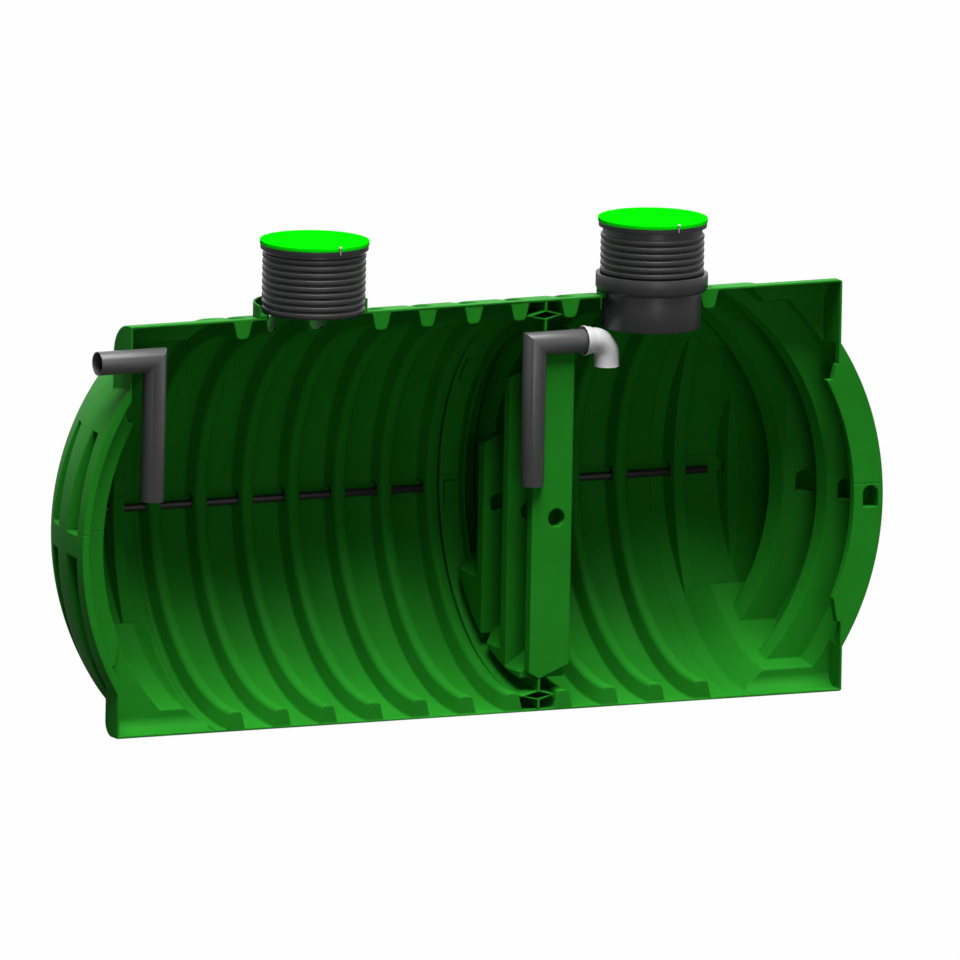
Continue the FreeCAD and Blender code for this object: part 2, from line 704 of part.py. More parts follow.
def build():
    """Every node of the part, by name."""
    nodes = {}
    left_x = [left_first_rib - index * rib_pitch for index in range(left_ribs)]
    right_x = [right_first_rib + index * rib_pitch for index in range(right_ribs)]
    left_split = left_foot_x + end_length
    right_split = right_foot_x - end_length
    modules = (("left", left_split, 0.0, left_x, left_riser_x, neck_hole_r),
               ("right", 0.0, right_split, right_x, right_riser_x, upstand_hole_r))
    for side, x0, x1, ribs, hole_x, hole_r in modules:
        shell = barrel_shell(x0, x1, ribs, hole_x, hole_r)
        for index, name in enumerate(segment_names):
            nodes[f"{side}_shell_{name}"] = shell.common(wedge(index, x0 - 1, x1 + 1))

    left_cap = end_cap(left_hoops, left_bored, left_pocket, left_edge_r, centre_rib_half, centre_rib_depth)
    left_end = place_end(left_cap, left_foot_x, True)
    inlet_route = [Vector(inlet_end_x, 0, inlet_z), Vector(inlet_leg_x, 0, inlet_z),
                   Vector(inlet_leg_x, 0, inlet_leg_z)]
    slim_r = pipe_r - inlet_pass_clearance
    left_end = left_end.cut(mitred_bar(inlet_route, slim_r))
    nodes["left_end_lower"], nodes["left_end_upper"] = halves(left_end)
    right_cap = end_cap(right_hoops, right_bored, right_pocket, right_edge_r, 0, 0)
    right_end = place_end(right_cap, right_foot_x, False)
    nodes["right_end_lower"], nodes["right_end_upper"] = halves(right_end)

    lower, upper = with_anchors(joint_ring(0, 90), joint_ring(90, 180))
    nodes["joint_ring_lower"], nodes["joint_ring_upper"] = lower, upper
    nodes["partition"] = partition()

    nodes["left_neck"] = left_neck()
    nodes["left_riser"] = corrugated_riser(left_riser_x, neck_ledge_z, riser_top,
                                           neck_ledge_z + first_ring_up)
    nodes["right_neck"] = right_neck()
    nodes["riser_socket"] = riser_socket()
    nodes["dip_pipe"] = tube(dip_pipe_r, dip_pipe_r - dip_pipe_wall, right_riser_x,
                             tank_top - dip_pipe_drop, neck_ledge_z)
    socket_seat = neck_ledge_z + socket_floor
    nodes["right_riser"] = corrugated_riser(right_riser_x, socket_seat, riser_top,
                                            socket_seat + socket_height + ring_gap)
    for side, x in (("left", left_riser_x), ("right", right_riser_x)):
        nodes[f"{side}_rim"] = tube(rim_r, riser_bore_r, x, riser_top, riser_top + rim_height)
        nodes[f"{side}_lid"] = lid(x)

    spigot = tube_x(pipe_r, pipe_r - pipe_wall, inlet_end_x, inlet_end_x + inlet_spigot, inlet_z)
    nodes["inlet_pipe"] = mitred_pipe(inlet_route, slim_r, pipe_wall - inlet_pass_clearance).fuse(spigot)
    nodes["crossover_pipe"] = mitred_pipe(cross_route(), pipe_r, pipe_wall)
    nodes["crossover_elbow"] = elbow()

    for side, (x0, x1) in (("left", left_rod_span()), ("right", right_rod_span())):
        nodes[f"{side}_tie_rod"] = rod(rod_r, Vector(x0, rod_y(), rod_z()), Vector(x1, rod_y(), rod_z()))
    return nodes


def main():
    """Build every node and write it as STEP."""
    os.makedirs("parts", exist_ok=True)
    for name, shape in build().items():
        shape.translate(origin_shift)
        box = shape.BoundBox
        print(f"{name:20} solids {len(shape.Solids)} valid {shape.isValid()} "
              f"volume {shape.Volume / 1e6:9.3f} l  "
              f"x {box.XMin:8.1f} {box.XMax:8.1f}  y {box.YMin:7.1f} {box.YMax:7.1f}  "
              f"z {box.ZMin:7.1f} {box.ZMax:7.1f}")
        shape.exportStep(f"parts/{name}.step")


main()
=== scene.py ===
"""Looks of a cutaway two-chamber septic tank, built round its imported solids.

The model's axes are X along the tank from the inlet end, Y away from the cut
face and Z up, in metres, with 0 in the middle of the keel strip.
"""
import json
import logging
import math
from dataclasses import dataclass
from enum import Enum
from typing import Any, Sequence

import bpy
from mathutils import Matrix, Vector


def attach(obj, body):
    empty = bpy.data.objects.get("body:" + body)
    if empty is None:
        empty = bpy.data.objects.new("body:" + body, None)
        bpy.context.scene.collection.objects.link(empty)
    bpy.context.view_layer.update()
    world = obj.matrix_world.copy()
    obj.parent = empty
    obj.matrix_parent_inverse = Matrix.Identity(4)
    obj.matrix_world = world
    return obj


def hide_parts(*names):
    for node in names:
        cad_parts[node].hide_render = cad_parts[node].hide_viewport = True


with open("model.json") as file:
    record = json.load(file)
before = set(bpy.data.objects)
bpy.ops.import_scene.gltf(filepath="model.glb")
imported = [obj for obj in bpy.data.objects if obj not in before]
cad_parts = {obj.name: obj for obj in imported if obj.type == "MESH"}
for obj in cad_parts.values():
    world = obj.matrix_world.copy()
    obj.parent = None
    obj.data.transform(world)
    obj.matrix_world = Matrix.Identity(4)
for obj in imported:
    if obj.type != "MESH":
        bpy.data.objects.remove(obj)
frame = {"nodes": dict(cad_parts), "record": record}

log = logging.getLogger("septic_tank")
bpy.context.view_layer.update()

Point = tuple[float, float, float]
Pairs = Sequence[tuple[float, float]]

# The middle of what a noise texture gives
MID_NOISE = 0.5

# Numbers of the Mix node's two colours and of their mixture
MIX_FIRST, MIX_SECOND, MIX_RESULT = 6, 7, 2

# Where the modules join, the plane of the cut and the height of the barrel's axis
JOINT_X = 0.3015
CUT_Y = -0.0615
AXIS_Z = 0.950

# Points of the pipes nearer than this are one
MERGE = 1e-5

# Turned and bent pieces look smooth up to this angle between faces, in degrees
SMOOTH_ANGLE = 38


class Way(Enum):
    """The axis that a turned piece stands on."""

    UP = (0.0, 0.0, 1.0)
    ALONG = (1.0, 0.0, 0.0)


class Field:
    """A value that changes over a surface, written as an expression."""

    def __init__(self, graph: "Graph", socket: Any) -> None:
        """Keeps the node graph and the socket that gives the value."""
        self.graph = graph
        self.socket = socket

    def _maths(self, operation: str, first: Any, second: Any) -> "Field":
        """Adds a Math node.

        Args:
            operation: the Math node's operation.
            first: its first value, a number or a Field.
            second: its second value, a number or a Field.

        Returns:
            The node's result.
        """
        return self.graph.add("ShaderNodeMath", {"operation": operation}, {0: first, 1: second})

    def __add__(self, other: Any) -> "Field":
        """The sum."""
        return self._maths("ADD", self, other)

    __radd__ = __add__

    def __mul__(self, other: Any) -> "Field":
        """The product."""
        return self._maths("MULTIPLY", self, other)

    __rmul__ = __mul__

    def __sub__(self, other: Any) -> "Field":
        """The difference."""
        return self._maths("SUBTRACT", self, other)

    def __rsub__(self, other: Any) -> "Field":
        """The difference from a number."""
        return self._maths("SUBTRACT", other, self)

    def or_more(self, other: Any) -> "Field":
        """The greater of two values."""
        return self._maths("MAXIMUM", self, other)


class Graph:
    """The node graph of one material or of the sky."""

    def __init__(self, owner: Any) -> None:
        """Starts an empty graph.

        Args:
            owner: the material or world that it belongs to.
        """
        owner.use_nodes = True
        self.owner = owner
        self.tree = owner.node_tree
        self.tree.nodes.clear()

    def add(self, kind: str, settings: dict[str, Any] | None = None,
            inputs: dict[Any, Any] | None = None, output: Any = 0) -> Field:
        """Adds any node.

        Args:
            kind: the node's type.
            settings: its settings by name; stops are a colour ramp's (place, grey) pairs.
            inputs: values or Fields by input name or number.
            output: the output that is wanted.

        Returns:
            The wanted output.
        """
        node = self.tree.nodes.new(kind)
        for key, value in (settings or {}).items():
            if key == "stops":
                ramp = node.color_ramp.elements
                for index, (place, grey) in enumerate(value):
                    stop = ramp[index] if index < len(ramp) else ramp.new(place)
                    stop.position = place
                    stop.color = (grey, grey, grey, 1)
            else:
                setattr(node, key, value)
        for key, value in (inputs or {}).items():
            if isinstance(value, Field):
                self.tree.links.new(value.socket, node.inputs[key])
            else:
                node.inputs[key].default_value = value
        return Field(self, node.outputs[output] if len(node.outputs) else None)

    def place(self) -> Field:
        """The point of the surface in the model's own axes."""
        return self.add("ShaderNodeTexCoord", output="Object")

    def stretched(self, scale: Point) -> Field:
        """The point of the surface with each axis scaled."""
        return self.add("ShaderNodeMapping", {}, {"Vector": self.place(), "Scale": scale})

    def noise(self, where: Field, scale: float, detail: float = 3.0, rough: float = 0.5) -> Field:
        """Even noise between about 0.3 and 0.7."""
        return self.add("ShaderNodeTexNoise", {}, {"Vector": where, "Scale": scale, "Detail": detail,
                                                   "Roughness": rough}, "Fac")

    def ramp(self, value: Field, stops: Pairs) -> Field:
        """A value passed through grey stops."""
        return self.add("ShaderNodeValToRGB", {"stops": stops}, {"Fac": value})

    def blend(self, factor: Field, first: Any, second: Any) -> Field:
        """Two colours mixed by a factor."""
        inputs = {"Factor": factor, MIX_FIRST: first, MIX_SECOND: second}
        return self.add("ShaderNodeMix", {"data_type": "RGBA"}, inputs, MIX_RESULT)

    def bump(self, height: Field, strength: float, distance: float, under: Field | None = None) -> Field:
        """Bumps the surface.

        Args:
            height: the height of the bumps.
            strength: how much of them shows, from 0 to 1.
            distance: the height of a full bump in metres.
            under: the normal that they are added to, or none for the plain surface.

        Returns:
            The bumped normal.
        """
        inputs = {"Height": height, "Strength": strength, "Distance": distance}
        if under:
            inputs["Normal"] = under
        return self.add("ShaderNodeBump", {}, inputs, "Normal")

    def surface(self, inputs: dict[str, Any]) -> bpy.types.Material:
        """Ends the graph in a surface shader.

        Args:
            inputs: values or Fields by the shader's input name.

        Returns:
            The material.
        """
        shader = self.add("ShaderNodeBsdfPrincipled", {}, inputs, "BSDF")
        self.add("ShaderNodeOutputMaterial", {}, {"Surface": shader})
        return self.owner


def rgba(colour: Point) -> tuple[float, float, float, float]:
    """A colour with full alpha."""
    return (*colour, 1.0)


def scaled(colour: Point, factor: float) -> tuple[float, float, float, float]:
    """A colour made lighter or darker, with full alpha."""
    return rgba(tuple(min(1.0, part * factor) for part in colour))


@dataclass(frozen=True)
class MouldedFinish:
    """Moulded plastic: cloudy colour, a fine orange peel and scuffed gloss.

    Args:
        name: the material's name.
        colour: the main colour.
        roughness: the mean roughness.
        cloud: how much the colour wanders over the piece.
        peel: strength of the orange peel.
        peel_size: size of its grains in metres.
        sheen: how strongly it mirrors, from 0 to 1.
        eased: radius in metres to which its edges look rounded.
        cloud_scale: clouds to the metre.
        speck_scale: specks to the metre.
        speck_share: share of the specks in the colour's wandering.
        scuff_scale: scuffs to the metre.
        scuff_depth: how much the scuffs change the roughness.
        peel_depth: height of the orange peel in metres.
        wave_scale: slow waves to the metre.
        wave_strength: strength of the waves.
        wave_depth: their height in metres.
    """

    name: str
    colour: Point
    roughness: float = 0.46
    cloud: float = 0.12
    peel: float = 0.12
    peel_size: float = 0.006
    sheen: float = 0.03
    eased: float = 0.009
    cloud_scale: float = 2.2
    speck_scale: float = 420.0
    speck_share: float = 0.2
    scuff_scale: float = 16.0
    scuff_depth: float = 0.22
    peel_depth: float = 0.0006
    wave_scale: float = 9.0
    wave_strength: float = 0.10
    wave_depth: float = 0.012

    def build(self) -> bpy.types.Material:
        """Builds the finish.

        Returns:
            The finished material.
        """
        graph = Graph(bpy.data.materials.new(self.name))
        where = graph.place()
        clouds = graph.noise(where, self.cloud_scale, detail=4.0, rough=0.55)
        specks = graph.noise(where, self.speck_scale, detail=2.0)
        mottled = clouds * (1 - self.speck_share) + specks * self.speck_share
        shade = graph.ramp(mottled, ((0.32, 0.0), (0.68, 1.0)))
        colour = graph.blend(shade, scaled(self.colour, 1 - self.cloud), scaled(self.colour, 1 + self.cloud))
        scuffs = graph.noise(graph.stretched((1.0, 1.0, 0.35)), self.scuff_scale, detail=5.0, rough=0.6)
        rough = (scuffs - MID_NOISE) * self.scuff_depth + self.roughness
        grains = graph.noise(where, 1 / self.peel_size, detail=2.0, rough=0.45)
        waves = graph.noise(where, self.wave_scale, detail=2.0)
        edges = graph.add("ShaderNodeBevel", {"samples": 6}, {"Radius": self.eased}, "Normal")
        normal = graph.bump(grains, self.peel, self.peel_depth, edges)
        normal = graph.bump(waves, self.wave_strength, self.wave_depth, normal)
        return graph.surface({"Base Color": colour, "Roughness": rough, "Normal": normal,
                              "Specular IOR Level": self.sheen})


@dataclass(frozen=True)
class DrawnFinish:
    """Extruded plastic: fine draw lines along one axis.

    Args:
        name: the material's name.
        colour: the main colour.
        stretch: how the lines are stretched on each axis.
        roughness: the mean roughness.
        lines: strength of the draw lines.
        sheen: how strongly it mirrors, from 0 to 1.
        line_scale: draw lines to the metre.
        line_share: share of the lines in the colour's wandering.
        line_depth: height of the lines in metres.
        cloud_scale: clouds to the metre.
        contrast: how far the colour wanders.
        gloss_range: how much the lines change the roughness.
    """

    name: str
    colour: Point
    stretch: Point
    roughness: float = 0.38
    lines: float = 0.18
    sheen: float = 0.3
    line_scale: float = 160.0
    line_share: float = 0.6
    line_depth: float = 0.0004
    cloud_scale: float = 6.0
    contrast: float = 0.14
    gloss_range: float = 0.24

    def build(self) -> bpy.types.Material:
        """Builds the finish.

        Returns:
            The finished material.
        """
        graph = Graph(bpy.data.materials.new(self.name))
        drawn = graph.noise(graph.stretched(self.stretch), self.line_scale, rough=0.6)
        clouds = graph.noise(graph.place(), self.cloud_scale)
        streaked = drawn * self.line_share + clouds * (1 - self.line_share)
        shade = graph.ramp(streaked, ((0.3, 0.0), (0.7, 1.0)))
        dark, light = (scaled(self.colour, 1 + change) for change in (-self.contrast, self.contrast))
        colour = graph.blend(shade, dark, light)
        rough = (drawn - MID_NOISE) * self.gloss_range + self.roughness
        normal = graph.bump(drawn, self.lines, self.line_depth)
        return graph.surface({"Base Color": colour, "Roughness": rough, "Normal": normal,
                              "Specular IOR Level": self.sheen})


@dataclass(frozen=True)
class Palette:
    """The finishes of the tank.

    Args:
        tank: the shells, ends, joint and partition.
        lid: the covers.
        riser: the risers, rims, socket and dip pipe.
        pipe: the drain pipes.
        elbow: the elbow and the latches.
        rod: the tie rods.
    """

    tank: MouldedFinish = MouldedFinish("tank_green", (0.0130, 0.185, 0.0120))
    lid: MouldedFinish = MouldedFinish("lid_green", (0.001, 0.66, 0.001), roughness=0.8, cloud=0.02,
                                       peel=0.08, sheen=0.0, eased=0.002)
    riser: DrawnFinish = DrawnFinish("riser_grey", (0.030, 0.030, 0.031), (1.0, 1.0, 12.0), roughness=0.36)
    pipe: DrawnFinish = DrawnFinish("pipe_grey", (0.066, 0.066, 0.067), (0.04, 1.0, 1.0), roughness=0.34)
    elbow: MouldedFinish = MouldedFinish("elbow_white", (0.50, 0.50, 0.50), roughness=0.3, cloud=0.02,
                                         peel=0.04, sheen=0.4, eased=0.002)
    rod: DrawnFinish = DrawnFinish("rod_dark", (0.032, 0.024, 0.028), (0.05, 1.0, 1.0), roughness=0.4)

    def build(self) -> dict[str, bpy.types.Material]:
        """Gives the finished materials by the record's slots."""
        finishes = (self.tank, self.lid, self.riser, self.pipe, self.elbow, self.rod)
        return {finish.name: finish.build() for finish in finishes}


@dataclass(frozen=True)
class Lamp:
    """A distant soft lamp.

    Args:
        name: the lamp's name.
        turn: how far it is turned round the tank from the cut side, in degrees.
        rise: its height above the horizon, in degrees.
        strength: its strength.
        softness: how wide it looks, in degrees.
    """

    name: str
    turn: float
    rise: float
    strength: float
    softness: float

    def build(self) -> None:
        """Adds the lamp to the scene."""
        data = bpy.data.lights.new(self.name, "SUN")
        data.energy = self.strength
        data.angle = math.radians(self.softness)
        lamp = bpy.data.objects.new(self.name, data)
        bpy.context.collection.objects.link(lamp)
        lamp.rotation_euler = (math.radians(90 - self.rise), 0, math.radians(self.turn))


@dataclass
class Stage:
    """The camera, the lamps and the pale floor.

    Args:
        azimuth: the camera's turn from looking along +Y, in degrees.
        elevation: its height above the horizon, in degrees.
        roll: how far the picture leans to the right, in degrees.
        width: metres across the square picture.
        centre: the picture's centre, from the joint's foot, along the picture's axes.
        distance: how far back the camera stands.
        reach: how far it sees.
        lamps: a high key, a weak lamp in front and another behind.
        sky: strength of the even light from all round.
        floor_grey: how light the floor is to the lamps.
        floor_drop: how far it lies under the tank.
        floor_glow: how white the camera sees it, from 0 to 1.
    """

    azimuth: float = 26.4
    elevation: float = 10.0
    roll: float = 1.1
    width: float = 4.3656
    centre: tuple[float, float] = (-0.2660, 1.0505)
    distance: float = 9.0
    reach: float = 60.0
    lamps: tuple[Lamp, ...] = (Lamp("key", -2.0, 75.0, 7.6, 46.0), Lamp("front", -14.0, 5.0, 0.34, 20.0),
                               Lamp("back", 170.0, 40.0, 0.25, 60.0))
    sky: float = 0.01
    floor_grey: float = 0.10
    floor_drop: float = 0.0006
    floor_glow: float = 0.99

    def axes(self) -> tuple[Vector, Vector, Vector]:
        """Works out how the picture lies in the model.

        Returns:
            The picture's right, its up and the way the camera looks.
        """
        turn, rise, lean = (math.radians(angle) for angle in (self.azimuth, self.elevation, self.roll))
        look = Vector((math.sin(turn) * math.cos(rise), math.cos(turn) * math.cos(rise), -math.sin(rise)))
        level = Vector((math.cos(turn), -math.sin(turn), 0))
        upright = level.cross(look)
        right = level * math.cos(lean) + upright * math.sin(lean)
        return right, right.cross(look), look

    def build(self) -> None:
        """Adds the camera, the lamps, the sky and the floor."""
        self.add_camera()
        for lamp in self.lamps:
            lamp.build()
        self.add_sky()
        self.add_floor()

    def add_camera(self) -> None:
        """Adds the flat camera of the photograph's angle."""
        right, up, look = self.axes()
        target = Vector((JOINT_X, CUT_Y, 0)) + right * self.centre[0] + up * self.centre[1]
        data = bpy.data.cameras.new("camera")
        data.type = "ORTHO"
        data.ortho_scale = self.width
        data.clip_end = self.reach
        camera = bpy.data.objects.new("camera", data)
        bpy.context.collection.objects.link(camera)
        turned = camera.matrix_world.to_3x3()
        turned.col[0], turned.col[1], turned.col[2] = right, up, -look
        camera.matrix_world = turned.to_4x4()
        camera.location = target - look * self.distance
        bpy.context.scene.camera = camera

    def add_sky(self) -> None:
        """Adds an even dim light, and white where the camera sees past the tank."""
        world = bpy.data.worlds.new("studio")
        bpy.context.scene.world = world
        graph = Graph(world)
        camera, glossy, through = (graph.add("ShaderNodeLightPath", output=f"Is {ray} Ray")
                                   for ray in ("Camera", "Glossy", "Transmission"))
        dim = graph.add("ShaderNodeBackground", {}, {"Color": (1, 1, 1, 1), "Strength": self.sky})
        white = graph.add("ShaderNodeBackground", {}, {"Color": (1, 1, 1, 1)})
        seen = camera.or_more(glossy).or_more(through)
        mixed = graph.add("ShaderNodeMixShader", {}, {0: seen, 1: dim, 2: white})
        graph.add("ShaderNodeOutputWorld", {}, {0: mixed})

    def add_floor(self) -> None:
        """Adds a white floor that keeps a faint shadow."""
        bpy.ops.object.select_all(action="DESELECT")
        bpy.ops.mesh.primitive_plane_add(size=self.reach, location=(0, 0, -self.floor_drop))
        floor = bpy.context.object
        floor.name = "floor"
        graph = Graph(bpy.data.materials.new("floor_white"))
        path = graph.add("ShaderNodeLightPath", output="Is Camera Ray")
        grey = (self.floor_grey, self.floor_grey, self.floor_grey)
        matt = graph.add("ShaderNodeBsdfDiffuse", {}, {"Color": rgba(grey)}, "BSDF")
        glow = graph.add("ShaderNodeEmission", {}, {"Color": (1, 1, 1, 1), "Strength": 1.0}, "Emission")
        mixed = graph.add("ShaderNodeMixShader", {}, {0: path * self.floor_glow, 1: matt, 2: glow}, "Shader")
        graph.add("ShaderNodeOutputMaterial", {}, {"Surface": mixed})
        floor.data.materials.append(graph.owner)


def bare_bench() -> None:
    """Ends any editing and leaves nothing selected."""
    if bpy.context.object and bpy.context.object.mode != "OBJECT":
        bpy.ops.object.mode_set(mode="OBJECT")
    bpy.ops.object.select_all(action="DESELECT")


def take_up(piece: bpy.types.Object) -> None:
    """Leaves one piece selected and in hand.

    Args:
        piece: the piece.
    """
    bare_bench()
    piece.select_set(True)
    bpy.context.view_layer.objects.active = piece


def settle(name: str) -> bpy.types.Object:
    """Ends editing of the piece in hand and puts its place into its mesh.

    Args:
        name: the piece's name.

    Returns:
        The piece.
    """
    bpy.ops.object.mode_set(mode="OBJECT")
    piece = bpy.context.object
    piece.name = piece.data.name = name
    bpy.ops.object.transform_apply(location=True, rotation=True, scale=True)
    return piece


def face_outwards() -> None:
    """Turns every face of the mesh in hand outwards."""
    bpy.ops.mesh.select_all(action="SELECT")
    bpy.ops.mesh.normals_make_consistent(inside=False)


def lifted(outline: Pairs, base: float) -> list[tuple[float, float]]:
    """An outline whose places along the axis are counted from a base."""
    return [(radius, base + place) for radius, place in outline]


def drawn_out(centre: Point, outline: Pairs, sides: int, way: Way) -> None:
    """Draws a ring out along an axis, resized at each station, and leaves it in edit mode.

    Args:
        centre: a point of the axis.
        outline: (radius, place along the axis) of each station.
        sides: sides of the ring.
        way: the axis.
    """
    axis = Vector(way.value)
    across = Vector((1, 1, 1)) - axis

    def spot(place: float) -> Vector:
        """The centre of the station at that place."""
        return Vector(centre) * across + axis * place

    bare_bench()
    radius, place = outline[0]
    turn = (0, math.radians(90), 0) if way is Way.ALONG else (0, 0, 0)
    bpy.ops.mesh.primitive_circle_add(vertices=sides, radius=radius, location=spot(place), rotation=turn)
    bpy.ops.object.transform_apply(location=True, rotation=True, scale=True)
    bpy.ops.object.mode_set(mode="EDIT")
    bpy.ops.mesh.select_mode(type="VERT")
    bpy.ops.mesh.select_all(action="SELECT")
    for next_radius, next_place in outline[1:]:
        bpy.ops.mesh.extrude_region_move(TRANSFORM_OT_translate={"value": axis * (next_place - place)})
        growth = next_radius / radius
        if next_radius != radius:
            bpy.ops.transform.resize(value=across * growth + axis, center_override=spot(next_place))
        radius, place = next_radius, next_place


def turned_ring(name: str, centre: Point, outline: Pairs, sides: int,
                way: Way = Way.UP) -> bpy.types.Object:
    """Turns a ring whose outline comes back to its start.

    Args:
        name: the piece's name.
        centre: a point of its axis.
        outline: (radius, place along the axis) of each station.
        sides: sides of the ring.
        way: its axis.

    Returns:
        The closed ring.
    """
    drawn_out(centre, outline, sides, way)
    bpy.ops.mesh.select_all(action="DESELECT")
    bpy.ops.mesh.select_mode(type="EDGE")
    bpy.ops.mesh.select_non_manifold(extend=False)
    bpy.ops.mesh.bridge_edge_loops()
    face_outwards()
    return settle(name)


def turned_disc(name: str, centre: Point, outline: Pairs, sides: int) -> bpy.types.Object:
    """Turns an upright disc or peg, closed at both ends.

    Args:
        name: the piece's name.
        centre: a point of its axis.
        outline: (radius, height) of each station.
        sides: sides of the ring.

    Returns:
        The closed disc.
    """
    drawn_out(centre, outline, sides, Way.UP)
    bpy.ops.mesh.select_all(action="SELECT")
    bpy.ops.mesh.fill_holes(sides=0)
    face_outwards()
    return settle(name)


def ease(piece: bpy.types.Object, width: float, segments: int = 3, above: float = 30.0) -> None:
    """Rounds a piece's edges and smooths its shading.

    Args:
        piece: the piece.
        width: how wide the rounding is, in metres.
        segments: its steps.
        above: the least angle of an edge that is rounded, in degrees.
    """
    take_up(piece)
    rounding = piece.modifiers.new("rounding", "BEVEL")
    rounding.width = width
    rounding.segments = segments
    rounding.limit_method = "ANGLE"
    rounding.angle_limit = math.radians(above)
    bpy.ops.object.modifier_apply(modifier=rounding.name)
    bpy.ops.object.shade_smooth_by_angle(angle=math.radians(SMOOTH_ANGLE))


def copied(piece: bpy.types.Object, name: str, shift: Point) -> bpy.types.Object:
    """Copies a piece with its own mesh and moves the copy.

    Args:
        piece: what is copied.
        name: the copy's name.
        shift: how far it goes.

    Returns:
        The copy.
    """
    take_up(piece)
    bpy.ops.object.duplicate(linked=False)
    bpy.ops.transform.translate(value=shift)
    return settle(name)


def fit(piece: bpy.types.Object, material: bpy.types.Material, slot: str, *nodes: str) -> bpy.types.Object:
    """Dresses a piece and ties it to the tank.

    Args:
        piece: the piece.
        material: its finish.
        slot: the record's slot for that finish; not used.
        nodes: the solids that it stands for.

    Returns:
        The piece.
    """
    piece.data.materials.clear()
    piece.data.materials.append(material)
    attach(piece, "root")
    if nodes:
        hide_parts(*nodes)
    stands_for = ", ".join(nodes) or "nothing"
    log.info("fitted %s, %d faces, for %s", piece.name, len(piece.data.polygons), stands_for)
    return piece


